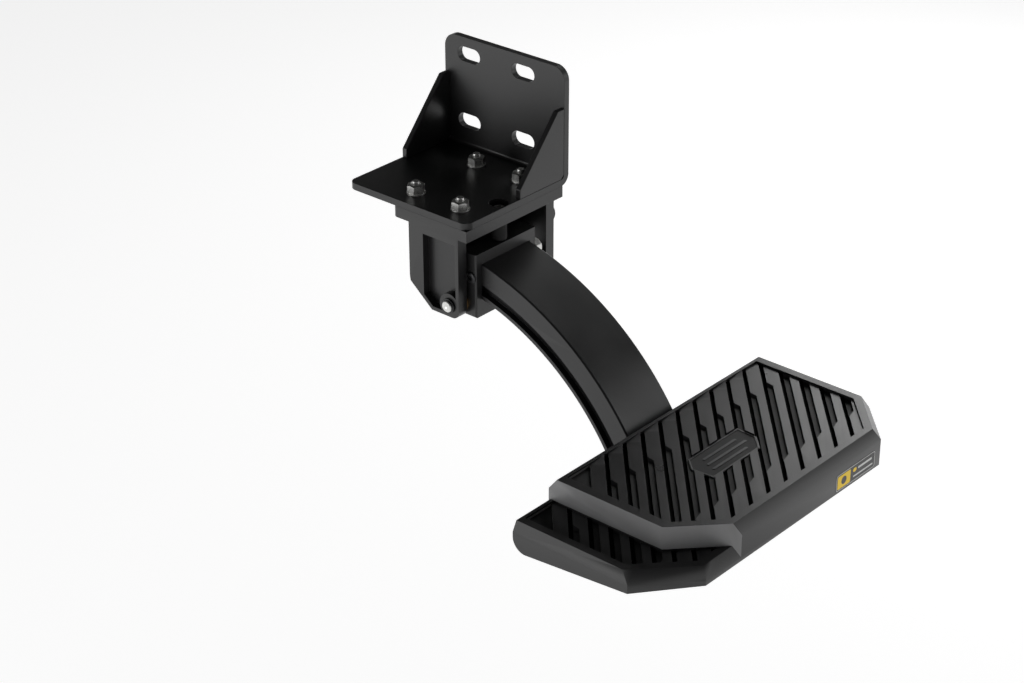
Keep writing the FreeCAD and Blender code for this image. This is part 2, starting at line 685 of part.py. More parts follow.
def make_underside():
    cover = lean(new_body("pad_cover"))
    drawing = sketch_on(cover, "XY_Plane")
    outline(drawing, from_back(low_outer("3.2", "heel_wall + 0.2")))
    pad(cover, drawing, "cover_thick")
    opening = sketch_on(cover, "XY_Plane", "-1")
    box_outline(opening, "-arm_half - 1.8", "arm_half + 1.8", "-25", "2")
    for x, y in foot_bolts:
        circle(opening, x, y, "bolt_radius")
    for x, y in cover_screws:
        circle(opening, x, y, "2")
    pocket(cover, opening, "cover_thick + 2", forward=True)
    plate = lean(new_body("foot_plate"))
    drawing = sketch_on(plate, "XY_Plane", "-foot_thick")
    near, far = "foot_near - pad_back", "foot_far - pad_back"
    outline(drawing, [
        ("12 - foot_half", near), ("foot_half - 12", near), ("foot_half", f"{near} - 12"),
        ("foot_half", f"{far} + 14"), ("foot_half - 14", far), ("14 - foot_half", far),
        ("-foot_half", f"{far} + 14"), ("-foot_half", f"{near} - 12"),
    ])
    pad(plate, drawing, "foot_thick")
    drilled = sketch_on(plate, "XY_Plane", "-foot_thick - 1")
    for x, y in foot_bolts:
        circle(drilled, x, y, "bolt_radius")
    pocket(plate, drilled, "foot_thick + 2", forward=True)
    bolts, washers = [], []
    for x, y in foot_bolts:
        washers.append(tube("8.5", "bolt_radius", "1.6", x, y, "-foot_thick - 1.6", "z"))
        shank = rod("bolt_radius", "20", x, y, "-foot_thick - 1.6", "z")
        bolts.append(fuse(shank, hexagon("13", "5.3", x, y, "-foot_thick - 6.9", "z")))
    lean(group("pad_bolts", bolts))
    lean(group("pad_washers", washers))
    lean(group("cover_screws", [
        fuse(rod("2", "12", x, y, "0", "z"), rod("3.6", "1.6", x, y, "-1.6", "z"))
        for x, y in cover_screws]))


make_frame_bracket()
make_gussets()
make_hinge_bracket()
make_deck_fasteners()
make_stops()
make_pivot()
make_knuckle()
make_arm()
make_cross_bolts()
make_bushings()
make_return_spring()
make_lock()
make_pad()
make_pad_trim()
make_underside()
doc.recompute()

for item in doc.Objects:
    if "Invalid" in item.State or "Error" in item.State:
        raise RuntimeError(f"{item.Label} ({item.Name}) could not be made")
os.makedirs("parts", exist_ok=True)
for item in subparts:
    if item.Shape.isNull() or not item.Shape.isValid():
        raise RuntimeError(f"{item.Label} has no valid shape")
    box = item.Shape.BoundBox
    print(f"{item.Label:20} {len(item.Shape.Solids)} solids {item.Shape.Volume / 1000:8.1f} cm3",
          [round(value, 1) for value in (box.XMin, box.XMax, box.YMin, box.YMax, box.ZMin, box.ZMax)])
    item.Shape.exportStep(f"parts/{item.Label}.step")
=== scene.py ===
import json
import math
import bmesh
import bpy
from mathutils import Matrix, Vector


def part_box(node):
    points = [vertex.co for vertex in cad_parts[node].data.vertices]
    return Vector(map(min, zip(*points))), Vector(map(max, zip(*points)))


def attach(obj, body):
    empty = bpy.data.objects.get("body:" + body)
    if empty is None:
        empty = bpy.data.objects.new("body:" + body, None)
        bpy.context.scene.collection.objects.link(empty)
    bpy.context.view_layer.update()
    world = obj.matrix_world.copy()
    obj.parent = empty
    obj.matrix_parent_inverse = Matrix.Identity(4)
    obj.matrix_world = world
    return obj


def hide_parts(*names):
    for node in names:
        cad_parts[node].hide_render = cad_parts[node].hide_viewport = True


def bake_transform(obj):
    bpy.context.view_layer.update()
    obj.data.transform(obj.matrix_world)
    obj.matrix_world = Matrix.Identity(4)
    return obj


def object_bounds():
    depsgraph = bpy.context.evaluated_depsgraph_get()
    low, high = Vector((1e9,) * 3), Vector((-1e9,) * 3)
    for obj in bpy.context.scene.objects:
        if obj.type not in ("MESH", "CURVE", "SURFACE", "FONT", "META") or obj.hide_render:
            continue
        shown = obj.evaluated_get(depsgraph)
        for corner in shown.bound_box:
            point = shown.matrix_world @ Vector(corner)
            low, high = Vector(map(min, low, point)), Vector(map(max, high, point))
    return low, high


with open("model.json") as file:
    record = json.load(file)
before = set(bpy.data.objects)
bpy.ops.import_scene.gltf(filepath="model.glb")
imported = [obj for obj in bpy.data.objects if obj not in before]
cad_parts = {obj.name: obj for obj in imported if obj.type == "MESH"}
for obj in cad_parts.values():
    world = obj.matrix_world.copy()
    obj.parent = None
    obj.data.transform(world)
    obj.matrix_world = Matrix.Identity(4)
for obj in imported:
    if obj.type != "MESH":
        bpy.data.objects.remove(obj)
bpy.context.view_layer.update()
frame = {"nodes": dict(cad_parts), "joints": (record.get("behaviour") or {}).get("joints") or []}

pivot = Vector(next(j for j in frame["joints"] if j["name"] == "step_swing")["pos_m"])
mm = 0.001


def report(text):
    print("scene:", text)


def at(x, y, z):  # a point in millimetres from the hinge axis
    return pivot + Vector((x, y, z)) * mm


def newMaterial(name, **sockets):
    material = bpy.data.materials.new(name)
    material.use_nodes = True
    shader = material.node_tree.nodes["Principled BSDF"]
    for key, value in sockets.items():
        shader.inputs[key.replace("_", " ")].default_value = value
    return material


def addNode(material, kind, links=(), **values):
    node = material.node_tree.nodes.new(kind)
    for key, value in values.items():
        if hasattr(node, key):
            setattr(node, key, value)
        else:
            node.inputs[key.replace("_", " ")].default_value = value
    for socket, source in links:
        material.node_tree.links.new(source, node.inputs[socket])
    return node


def join(material, source, target):
    material.node_tree.links.new(source, target)


def ramp(material, source, stops):
    node = addNode(material, "ShaderNodeValToRGB", [("Fac", source)])
    elements = node.color_ramp.elements
    while len(elements) < len(stops):
        elements.new(0.5)
    for element, (place, value) in zip(elements, stops):
        element.position = place
        element.color = (*value, 1) if isinstance(value, tuple) else (value, value, value, 1)
    return node.outputs["Color"]


def mixColor(material, factor, first, second):
    node = material.node_tree.nodes.new("ShaderNodeMix")
    node.data_type = "RGBA"
    sockets = (node.inputs["Factor"], node.inputs[6], node.inputs[7])
    for socket, value in zip(sockets, (factor, first, second)):
        if isinstance(value, bpy.types.NodeSocket):
            join(material, value, socket)
        else:
            socket.default_value = (*value, 1)
    return node.outputs[2]


def coated(name, look):  # a matte or satin coat with a fine grain
    material = newMaterial(name, Specular_IOR_Level=look["specular"], IOR=1.5)
    shader = material.node_tree.nodes["Principled BSDF"]
    place = addNode(material, "ShaderNodeTexCoord").outputs["Object"]
    cloud = addNode(material, "ShaderNodeTexNoise", [("Vector", place)],
                    Scale=look["cloudScale"], Detail=4.0)
    grain = addNode(material, "ShaderNodeTexNoise", [("Vector", place)],
                    Scale=look["grainScale"], Detail=2.0)
    dark, light = look["colors"]
    body = ramp(material, cloud.outputs["Fac"], [(0.3, dark), (0.7, light)])
    edge = addNode(material, "ShaderNodeNewGeometry").outputs["Pointiness"]
    body = mixColor(material, ramp(material, edge, [(0.52, 0.0), (0.62, 1.0)]), body, look["edge"])
    join(material, body, shader.inputs["Base Color"])
    low, high = look["roughness"]
    rough = ramp(material, cloud.outputs["Fac"], [(0.25, low), (0.75, high)])
    join(material, rough, shader.inputs["Roughness"])
    bump = addNode(material, "ShaderNodeBump", [("Height", grain.outputs["Fac"])],
                   Strength=look["bump"], Distance=look["grainDepth"])
    join(material, bump.outputs["Normal"], shader.inputs["Normal"])
    return material


coatLooks = {
    "powderBlack": {"colors": ((0.007, 0.007, 0.0075), (0.011, 0.011, 0.0115)), "edge": (0.02, 0.02, 0.02),
                    "roughness": (0.30, 0.38), "specular": 0.5, "cloudScale": 22.0, "grainScale": 1600.0,
                    "bump": 0.2, "grainDepth": 0.0001},
    "castBlack": {"colors": ((0.007, 0.007, 0.0075), (0.011, 0.011, 0.0115)), "edge": (0.03, 0.03, 0.03),
                  "roughness": (0.27, 0.34), "specular": 0.5, "cloudScale": 30.0, "grainScale": 2400.0,
                  "bump": 0.2, "grainDepth": 0.0001},
    # painted light: the same black coat drawn light grey on the riser and on the blank corner's rib wall,
    # standing in for the light they catch
    "paintedLightGrey": {"colors": ((0.19, 0.19, 0.193), (0.22, 0.22, 0.223)), "edge": (0.18, 0.18, 0.18),
                  "roughness": (0.4, 0.5), "specular": 0.5, "cloudScale": 30.0, "grainScale": 2400.0,
                  "bump": 0.25, "grainDepth": 0.0001},
    # painted glint: the black coat drawn lighter grey on the ribs' rising back facets
    "paintedGlintGrey": {"colors": ((0.030, 0.030, 0.031), (0.038, 0.038, 0.039)), "edge": (0.06, 0.06, 0.06),
                  "roughness": (0.35, 0.42), "specular": 0.5, "cloudScale": 30.0, "grainScale": 2400.0,
                  "bump": 0.2, "grainDepth": 0.0001},
    # painted shade: the black coat drawn darker and duller on the ledges, the blank corner's floor and the
    # plaque's sunken plate
    "paintedShadeBlack": {"colors": ((0.004, 0.004, 0.004), (0.007, 0.007, 0.007)), "edge": (0.01, 0.01, 0.01),
                   "roughness": (0.5, 0.6), "specular": 0.3, "cloudScale": 30.0, "grainScale": 2400.0,
                   "bump": 0.25, "grainDepth": 0.0001},
    # painted shade: near-black for the shadow deep in the grooves, on their floors and walls
    "paintedDeepShade": {"colors": ((0.001, 0.001, 0.001), (0.002, 0.002, 0.002)), "edge": (0.003, 0.003, 0.003),
                    "roughness": (0.8, 0.9), "specular": 0.08, "cloudScale": 30.0, "grainScale": 2400.0,
                    "bump": 0.2, "grainDepth": 0.0001},
    "rubberBlack": {"colors": ((0.010, 0.010, 0.010), (0.018, 0.018, 0.018)), "edge": (0.03, 0.03, 0.03),
                    "roughness": (0.7, 0.85), "specular": 0.4, "cloudScale": 60.0, "grainScale": 1500.0,
                    "bump": 0.4, "grainDepth": 0.0002},
    "nylonBlack": {"colors": ((0.011, 0.011, 0.012), (0.018, 0.018, 0.019)), "edge": (0.04, 0.04, 0.04),
                   "roughness": (0.5, 0.62), "specular": 0.45, "cloudScale": 40.0, "grainScale": 900.0,
                   "bump": 0.3, "grainDepth": 0.00015},
    "filmBlack": {"colors": ((0.012, 0.012, 0.012), (0.018, 0.018, 0.018)), "edge": (0.02, 0.02, 0.02),
                  "roughness": (0.3, 0.4), "specular": 0.5, "cloudScale": 60.0, "grainScale": 900.0,
                  "bump": 0.05, "grainDepth": 0.0001},
    "filmYellow": {"colors": ((0.85, 0.54, 0.012), (0.95, 0.62, 0.015)), "edge": (0.95, 0.65, 0.03),
                   "roughness": (0.4, 0.5), "specular": 0.4, "cloudScale": 60.0, "grainScale": 900.0,
                   "bump": 0.05, "grainDepth": 0.0001},
    "filmWhite": {"colors": ((0.55, 0.55, 0.54), (0.65, 0.65, 0.64)), "edge": (0.65, 0.65, 0.64),
                  "roughness": (0.4, 0.5), "specular": 0.4, "cloudScale": 60.0, "grainScale": 900.0,
                  "bump": 0.05, "grainDepth": 0.0001},
}


def metal(name, look):
    material = newMaterial(name, Metallic=1.0)
    shader = material.node_tree.nodes["Principled BSDF"]
    place = addNode(material, "ShaderNodeTexCoord").outputs["Object"]
    cloud = addNode(material, "ShaderNodeTexNoise", [("Vector", place)],
                    Scale=look["cloudScale"], Detail=5.0)
    stretched = addNode(material, "ShaderNodeMapping", [("Vector", place)])
    stretched.inputs["Scale"].default_value = look["brush"]
    lines = addNode(material, "ShaderNodeTexNoise", [("Vector", stretched.outputs["Vector"])],
                    Scale=1.0, Detail=3.0)
    dark, light = look["colors"]
    body = ramp(material, cloud.outputs["Fac"], [(0.35, dark), (0.65, light)])
    join(material, body, shader.inputs["Base Color"])
    low, high = look["roughness"]
    rough = ramp(material, lines.outputs["Fac"], [(0.3, low), (0.7, high)])
    join(material, rough, shader.inputs["Roughness"])
    bump = addNode(material, "ShaderNodeBump", [("Height", lines.outputs["Fac"])],
                   Strength=0.2, Distance=0.00006)
    join(material, bump.outputs["Normal"], shader.inputs["Normal"])
    return material


metalLooks = {
    "zincBright": {"colors": ((0.45, 0.45, 0.44), (0.68, 0.68, 0.66)), "roughness": (0.25, 0.4),
                   "cloudScale": 180.0, "brush": (300.0, 2500.0, 2500.0)},
    "blackOxide": {"colors": ((0.03, 0.03, 0.032), (0.06, 0.06, 0.062)), "roughness": (0.35, 0.5),
                   "cloudScale": 150.0, "brush": (900.0, 900.0, 900.0)},
    "springWire": {"colors": ((0.09, 0.09, 0.095), (0.16, 0.16, 0.165)), "roughness": (0.3, 0.42),
                   "cloudScale": 120.0, "brush": (600.0, 900.0, 900.0)},
    "bronze": {"colors": ((0.32, 0.2, 0.09), (0.45, 0.29, 0.13)), "roughness": (0.35, 0.5),
               "cloudScale": 300.0, "brush": (1500.0, 1500.0, 1500.0)},
}
finishes = {name: coated(name, look) for name, look in coatLooks.items()}
finishes.update({name: metal(name, look) for name, look in metalLooks.items()})
report("materials made")


def dress(piece, *names):
    for name in names:
        piece.data.materials.append(finishes[name])


def cleanCopy(node):  # a CAD node's mesh with its flat faces made whole again
    bm = bmesh.new()
    bm.from_mesh(frame["nodes"][node].data)
    bmesh.ops.remove_doubles(bm, verts=bm.verts, dist=0.01 * mm)
    bmesh.ops.dissolve_limit(bm, angle_limit=math.radians(1.0), verts=bm.verts, edges=bm.edges,
                             delimit={"NORMAL"})
    return bm


def finishPiece(bm, name, looks, body, nodes, smooth=35):
    bmesh.ops.remove_doubles(bm, verts=bm.verts, dist=0.002 * mm)
    bmesh.ops.recalc_face_normals(bm, faces=bm.faces)
    data = bpy.data.meshes.new(name)
    bm.to_mesh(data)
    bm.free()
    piece = bpy.data.objects.new(name, data)
    bpy.context.collection.objects.link(piece)
    for face in data.polygons:
        face.use_smooth = True
    data.set_sharp_from_angle(angle=math.radians(smooth))
    even = piece.modifiers.new("evenNormals", "WEIGHTED_NORMAL")
    even.keep_sharp = True
    looks = (looks,) if isinstance(looks, str) else looks
    dress(piece, *looks)
    if body:
        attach(piece, body)
    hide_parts(*nodes)
    return piece


def softEdges(bm, width, angle=30, segments=2, test=None):
    edges = [e for e in bm.edges if len(e.link_faces) == 2 and e.calc_face_angle(0) > math.radians(angle)
             and (test is None or test(e))]
    bmesh.ops.bevel(bm, geom=edges, offset=width, offset_type="OFFSET", affect="EDGES", segments=segments,
                    profile=0.5, material=-1, clamp_overlap=True, miter_outer="SHARP")


def revolve(bm, profile, turn, steps=40):  # profile: (distance along the axis, radius) in millimetres
    verts = [bm.verts.new(turn @ (Vector((radius, 0, along)) * mm)) for along, radius in profile]
    edges = [bm.edges.new(pair) for pair in zip(verts, verts[1:])]
    bmesh.ops.spin(bm, geom=verts + edges, cent=turn.translation, axis=turn.col[2].xyz, dvec=(0, 0, 0),
                   angle=math.tau, steps=steps, use_merge=True, use_duplicate=False)


def threads(start, end, radius, pitch):
    count = int((end - start) / pitch)
    ring = [(start, radius - 0.6)]
    for n in range(count):
        ring += [(start + (n + 0.5) * pitch, radius), (start + (n + 1) * pitch, radius - 0.6)]
    return ring


def around(count):  # points on a circle of radius 1
    return [(math.cos(math.tau * n / count), math.sin(math.tau * n / count)) for n in range(count)]


def hexagon(bm, across, low, high, turn, chamferLow=False, chamferHigh=True):
    made = bmesh.new()
    radius = across / math.sqrt(3)
    matrix = Matrix.Translation((0, 0, (low + high) / 2 * mm))
    bmesh.ops.create_cone(made, cap_ends=True, segments=6, radius1=radius * mm, radius2=radius * mm,
                          depth=(high - low) * mm, matrix=matrix)
    for side, wanted in ((1, chamferHigh), (-1, chamferLow)):
        if not wanted:
            continue
        level = high if side > 0 else low
        for x, y in around(24):
            normal = Vector((x * 0.5, y * 0.5, side * 0.866))
            point = Vector((x * across * 0.48, y * across * 0.48, level)) * mm
            cut = bmesh.ops.bisect_plane(made, geom=made.faces[:] + made.edges[:] + made.verts[:],
                                         dist=0.001 * mm, plane_co=point, plane_no=normal, clear_outer=True)
            edges = [e for e in cut["geom_cut"] if isinstance(e, bmesh.types.BMEdge)]
            if edges:
                bmesh.ops.contextual_create(made, geom=edges)
    made.transform(turn)
    data = bpy.data.meshes.new("hexagon")
    made.to_mesh(data)
    made.free()
    bm.from_mesh(data)
    bpy.data.meshes.remove(data)


def socketHead(bm, radius, low, high, turn, socket):  # a button head with a hexagon socket
    dome = [(low, 0), (low, radius), (low + (high - low) * 0.35, radius)]
    for n in range(1, 5):
        t = math.radians(90 * n / 4)
        dome.append((low + (high - low) * (0.35 + 0.65 * math.sin(t)),
                     socket * 1.25 + (radius - socket * 1.25) * math.cos(t)))
    dome.append((high, socket * 1.2))
    revolve(bm, dome, turn, 36)
    edges = []
    for count, size in ((36, socket * 1.2), (6, socket)):  # the rim, then the socket's mouth
        ring = [bm.verts.new(turn @ (Vector((x * size, y * size, high)) * mm)) for x, y in around(count)]
        edges += [bm.edges.new((ring[n], ring[(n + 1) % count])) for n in range(count)]
    bmesh.ops.bridge_loops(bm, edges=edges)
    wall = bmesh.ops.extrude_edge_only(bm, edges=edges[36:])["geom"]
    deep = [x for x in wall if isinstance(x, bmesh.types.BMVert)]
    bmesh.ops.translate(bm, vec=turn.to_3x3() @ Vector((0, 0, -(high - low) * 0.7 * mm)), verts=deep)
    bmesh.ops.contextual_create(bm, geom=deep)


def coil(bm, radius, wire, low, high, turns, turn, steps=28, sides=10, lead=()):
    ring = []
    path = [Vector(point) for point in lead]
    count = int(turns * steps)
    for n in range(count + 1):
        t = n / count
        angle = math.tau * turns * t
        path.append(Vector((math.cos(angle) * radius, math.sin(angle) * radius, low + (high - low) * t)))
    for n, point in enumerate(path):
        ahead = (path[min(n + 1, len(path) - 1)] - path[max(n - 1, 0)]).normalized()
        out = Vector((point.x, point.y, 0)).normalized()
        up = ahead.cross(out).normalized()
        out = up.cross(ahead)
        ring.append([bm.verts.new(turn @ ((point + (out * x + up * y) * wire / 2) * mm))
                     for x, y in around(sides)])
    for a, b in zip(ring, ring[1:]):
        for s in range(sides):
            bm.faces.new((a[s], a[(s + 1) % sides], b[(s + 1) % sides], b[s]))
    bm.faces.new(ring[0][::-1])
    bm.faces.new(ring[-1])


pad = {
    "ribPitch": 15.0 * mm, "ribAngle": 42.0, "ribStart": 12.2 * mm, "grooveWide": 3.6 * mm,
    "ledgeWide": 4.6 * mm, "ribDrop": 1.7 * mm, "ledgeDeep": 2.0 * mm, "grooveDeep": 4.0 * mm,
    "rimBack": 3.0 * mm, "rimFront": 5.8 * mm, "rimLeft": 8.5 * mm, "rimRight": 7.2 * mm,
    "rimChamfer": 6.8 * mm, "rimLow": 7.0 * mm, "backBevel": 8 * mm, "recessDeep": 4.2 * mm,
    "ledgeBack": 36.2 * mm, "ledgeFront": 109.0 * mm, "ledgeLean": 15.5, "glintLong": 5.6 * mm,
    "edgeSoft": 0.35 * mm, "footSoft": 2.4 * mm, "hair": 0.01 * mm, "blankPart": 0.6,
    "tierDrop": 10 * mm, "tierArea": 3e-3, "riserInset": 80 * mm, "riserTop": 7 * mm, "riserArea": 1e-4,
    "finishes": ("castBlack", "paintedShadeBlack", "paintedDeepShade", "paintedLightGrey", "paintedGlintGrey"),
    "plaque": [(-46, -247), (-36, -236), (29, -236), (28, -256), (16, -268), (-44, -268)],
    "plaqueFloor": -60.8, "plaqueThick": 0.9, "plaqueInset": 0.4, "plaqueBorder": 1.6,
    "plaqueRaise": 0.4, "barWide": 2.6, "bars": ((-28, -247, 42), (-32, -254, 50), (-34, -261, 44)),
}
finishOf = {name: number for number, name in enumerate(pad["finishes"])}
shoulder = pad["grooveWide"] + pad["ledgeWide"]  # from a groove's left edge to its ledge's right edge
ribWide = pad["ribPitch"] - pad["grooveWide"]
ribTurn = math.radians(pad["ribAngle"])
ribAlong = Vector((math.cos(ribTurn), math.sin(ribTurn), 0))
ribAcross = Vector((math.sin(ribTurn), -math.cos(ribTurn), 0))


def middle(face):
    return face.calc_center_median()


def acrossFrom(base, point):
    return (point - base).dot(ribAcross)


def onRibLine(base, y):  # the point of a rib line at this y
    return base + ribAlong * ((y - base.y) / ribAlong.y)


def inside(place, sides, slack=0.0):  # sides: (point, inward normal)
    return all((place - point).dot(inward) > slack for point, inward in sides)


def treadFace(bm, level):  # closes the flat top at this level, with any recess in it, as one face
    recess = level - pad["recessDeep"]
    gone = [f for f in bm.faces if recess < middle(f).z < level + 0.05 * mm
            and (f.normal.z > 0.99 or abs(f.normal.z) < 0.01) and min(v.co.z for v in f.verts) > recess]
    bmesh.ops.delete(bm, geom=gone, context="FACES")
    border = [e for e in bm.edges if len(e.link_faces) == 1
              and all(abs(v.co.z - level) < 0.05 * mm for v in e.verts)]
    face = bmesh.ops.contextual_create(bm, geom=border)["faces"][0]
    face.normal_update()
    if face.normal.z < 0:
        face.normal_flip()
    return face


def slicePlane(bm, faces, point, normal):  # cuts the faces with a plane and returns what they become
    kept = set(bm.faces) - set(faces)
    edges = list({e for f in faces for e in f.edges})
    verts = list({v for f in faces for v in f.verts})
    bmesh.ops.bisect_plane(bm, geom=faces + edges + verts, dist=0.0005 * mm, plane_co=point, plane_no=normal)
    return [f for f in bm.faces if f not in kept]


def press(bm, faces, depth):  # pushes a region straight down and gives it walls
    made = bmesh.ops.extrude_face_region(bm, geom=faces)["geom"]
    old = [f for f in faces if f.is_valid]
    if old:
        bmesh.ops.delete(bm, geom=old, context="FACES_ONLY")
    verts = [x for x in made if isinstance(x, bmesh.types.BMVert)]
    bmesh.ops.translate(bm, vec=(0, 0, -depth), verts=verts)
    bm.normal_update()
    return [x for x in made if isinstance(x, bmesh.types.BMFace)]


def rimSides(face, lower):  # the ribbed part ends inside each outer edge, but not under a riser
    sides = []
    for loop in face.loops:
        a, b = loop.vert.co, loop.link_loop_next.vert.co
        outward = Vector((b.y - a.y, a.x - b.x, 0)).normalized()
        if (a - b).length < 15 * mm or (lower and outward.x > 0.3):
            continue
        if outward.y > 0.9:
            wide = pad["rimBack"]
        elif lower:
            wide = pad["rimLow"]
        elif abs(outward.x) > 0.9:
            wide = pad["rimRight"] if outward.x > 0 else pad["rimLeft"]
        else:
            wide = pad["rimFront"] if outward.y < -0.95 else pad["rimChamfer"]
        sides.append((a - outward * wide, -outward))
    return sides


def plaqueSides(level):
    corners = [at(x, y, 0) for x, y in pad["plaque"]]
    centre = sum(corners, Vector()) / len(corners)
    sides = []
    for a, b in zip(corners, corners[1:] + corners[:1]):
        inward = Vector((a.y - b.y, b.x - a.x, 0)).normalized()
        sides.append((Vector((a.x, a.y, level)), inward if inward.dot(centre - a) > 0 else -inward))
    return sides


def layOutRibs(level):  # a point on the left edge of every groove, from the pad's left to its right
    low, high = (Vector(corner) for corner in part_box("step_pad"))
    first = ribAcross * (pivot.dot(ribAcross) + pad["ribStart"]) + Vector((0, 0, level))
    count = int(acrossFrom(first, Vector((high.x, low.y, level))) / pad["ribPitch"]) + 2
    return [first + ribAcross * (n * pad["ribPitch"]) for n in range(count)]


def cutLedges(bm, shelf, bases):  # where each ledge starts and stops, and the faces between
    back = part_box("step_pad")[1][1] - pad["backBevel"]
    lean = Matrix.Rotation(math.radians(pad["ledgeLean"]), 3, "Z") @ Vector((0, 1, 0))
    ends = []
    for base in bases:
        inner = base + ribAcross * shoulder
        ends.append(((onRibLine(inner, back - pad["ledgeBack"]), ribAlong),
                     (onRibLine(inner, back - pad["ledgeFront"]), lean)))
        for point, normal in ends[-1]:
            strip = [f for f in shelf if 0 < -acrossFrom(inner, middle(f)) < pad["ledgeWide"]]
            if strip:
                shelf = [f for f in shelf if f not in strip] + slicePlane(bm, strip, point, normal)
    ledges = []
    for face in shelf:
        number = int(acrossFrom(bases[0], middle(face)) // pad["ribPitch"])
        (start, startNormal), (stop, stopNormal) = ends[number]
        if (middle(face) - start).dot(startNormal) < 0 and (middle(face) - stop).dot(stopNormal) > 0:
            ledges.append(face)
    return ledges, [f for f in shelf if f not in ledges], ends


def raiseBackEnds(bm, tops, bases, backLine):  # the ribs' back ends rise to the rim as facets
    left, right = min(v.co.x for f in tops for v in f.verts), max(v.co.x for f in tops for v in f.verts)
    for base in bases:
        near = onRibLine(base + ribAcross * pad["grooveWide"], backLine)
        far = onRibLine(base + ribAcross * pad["ribPitch"], backLine)
        strip = [f for f in tops if 0 < acrossFrom(near, middle(f)) < ribWide]
        if near.x < left - 12 * mm or far.x > right or not strip:
            continue
        tops = [f for f in tops if f not in strip] + slicePlane(bm, strip, near, ribAlong)
        tipped = {v for f in tops for v in f.verts
                  if -pad["hair"] < acrossFrom(near, v.co) < ribWide + pad["hair"]
                  and (v.co - near).dot(ribAlong) > 0.05 * mm}
        full = (far - near).dot(ribAlong)
        for vert in tipped:
            vert.co.z = base.z + pad["ribDrop"] * (vert.co - near).dot(ribAlong) / full
    return tops


def findGlints(tops, bases, ends):  # the ledges' back corners, on the groove's side
    glints = []
    for vert in {v for f in tops for v in f.verts}:
        reach = acrossFrom(bases[0], vert.co)
        rib = int((reach + 0.1 * mm) // pad["ribPitch"])
        if rib >= len(bases) or abs(vert.co.z - bases[0].z) >= pad["hair"]:
            continue
        point, normal = ends[rib][0]
        onEdge = abs(reach % pad["ribPitch"] - pad["grooveWide"]) < pad["hair"]
        if onEdge and abs((vert.co - point).dot(normal)) < pad["hair"]:
            glints.append(vert)
    return glints


def paintTreadLightAndShade(bm, first, startRib, rims, plaque):  # ledges, grooves and the blank corner's floor get painted shade; the rising back facets and the blank corner's wall get painted highlights
    level = first.z
    for face in bm.faces:
        place = middle(face)
        if not level - pad["grooveDeep"] - 0.1 * mm < place.z < level + pad["ribDrop"] - 0.05 * mm:
            continue
        if not inside(place, rims, -0.05 * mm):
            continue
        if place.z > level - 0.3 * mm:
            # facets rising to the back rim: painted glint grey
            if 0.9 < face.normal.z < 0.9995 and place.z > level + 0.1 * mm:
                face.material_index = finishOf["paintedGlintGrey"]
            continue
        if plaque and inside(place, plaque) or abs(face.normal.z) > 0.02 and face.normal.z < 0.9:
            continue
        reach = acrossFrom(first, place)
        across = reach % pad["ribPitch"]
        # the blank corner before the first rib: floor in painted shade, wall in painted light grey
        if reach - startRib * pad["ribPitch"] < pad["grooveWide"] + 0.1 * mm:
            face.material_index = finishOf["paintedShadeBlack" if face.normal.z > 0.9 else "paintedLightGrey"]
        # groove floors and walls in near-black painted shade, ledges in painted shade, rib tops in the plain
        # coat
        elif across < pad["grooveWide"] + 0.05 * mm:
            face.material_index = finishOf["paintedDeepShade"]
        else:
            face.material_index = finishOf["paintedShadeBlack" if across < shoulder + 0.05 * mm else "castBlack"]


def cutTread(bm, level, lower):
    whole = treadFace(bm, level)
    rims = rimSides(whole, lower)
    faces = [whole]
    for point, inward in rims:
        faces = slicePlane(bm, faces, point, inward)
    tread = [f for f in press(bm, [f for f in faces if inside(middle(f), rims)], pad["ribDrop"])
             if f.normal.z > 0.9]
    level -= pad["ribDrop"]
    plaque = [] if lower else plaqueSides(level)
    for point, inward in plaque:
        tread = slicePlane(bm, tread, point, inward)
    sunk = [f for f in tread if plaque and inside(middle(f), plaque)]
    tread = [f for f in tread if f not in sunk]
    bases = layOutRibs(level)
    first = bases[0]
    for base in bases:
        for shift in (0, pad["grooveWide"], shoulder):
            tread = slicePlane(bm, tread, base + ribAcross * shift, ribAcross)
    backLine = max(v.co.y for f in tread for v in f.verts)
    corner = min((v.co.copy() for f in tread for v in f.verts if v.co.y > backLine - 0.1 * mm),
                 key=lambda place: place.x)
    startRib = math.ceil(acrossFrom(first, corner) / pad["ribPitch"] + pad["blankPart"])
    blank = [f for f in tread if acrossFrom(first, middle(f)) < startRib * pad["ribPitch"]]
    tread = [f for f in tread if f not in blank]
    place = {f: acrossFrom(first, middle(f)) % pad["ribPitch"] for f in tread}
    grooves = [f for f in tread if place[f] < pad["grooveWide"]]
    shelf = [f for f in tread if pad["grooveWide"] < place[f] < shoulder]
    tops = [f for f in tread if place[f] > shoulder]
    ledges, plain, ends = cutLedges(bm, shelf, bases)
    tops = raiseBackEnds(bm, tops + plain, bases, backLine)
    glints = findGlints(tops, bases, ends)
    sunken = press(bm, grooves + ledges + blank + sunk, pad["ledgeDeep"])
    for vert in glints:
        if vert.is_valid and vert.co.y < backLine - pad["glintLong"]:
            vert.co += ribAlong * pad["glintLong"]
    floor = [f for f in sunken if f.normal.z > 0.9
             and acrossFrom(first, middle(f)) % pad["ribPitch"] < pad["grooveWide"]
             and acrossFrom(first, middle(f)) > startRib * pad["ribPitch"] + pad["grooveWide"]
             and not (plaque and inside(middle(f), plaque))]
    press(bm, floor, pad["grooveDeep"] - pad["ledgeDeep"])
    paintTreadLightAndShade(bm, first, startRib, rims, plaque)


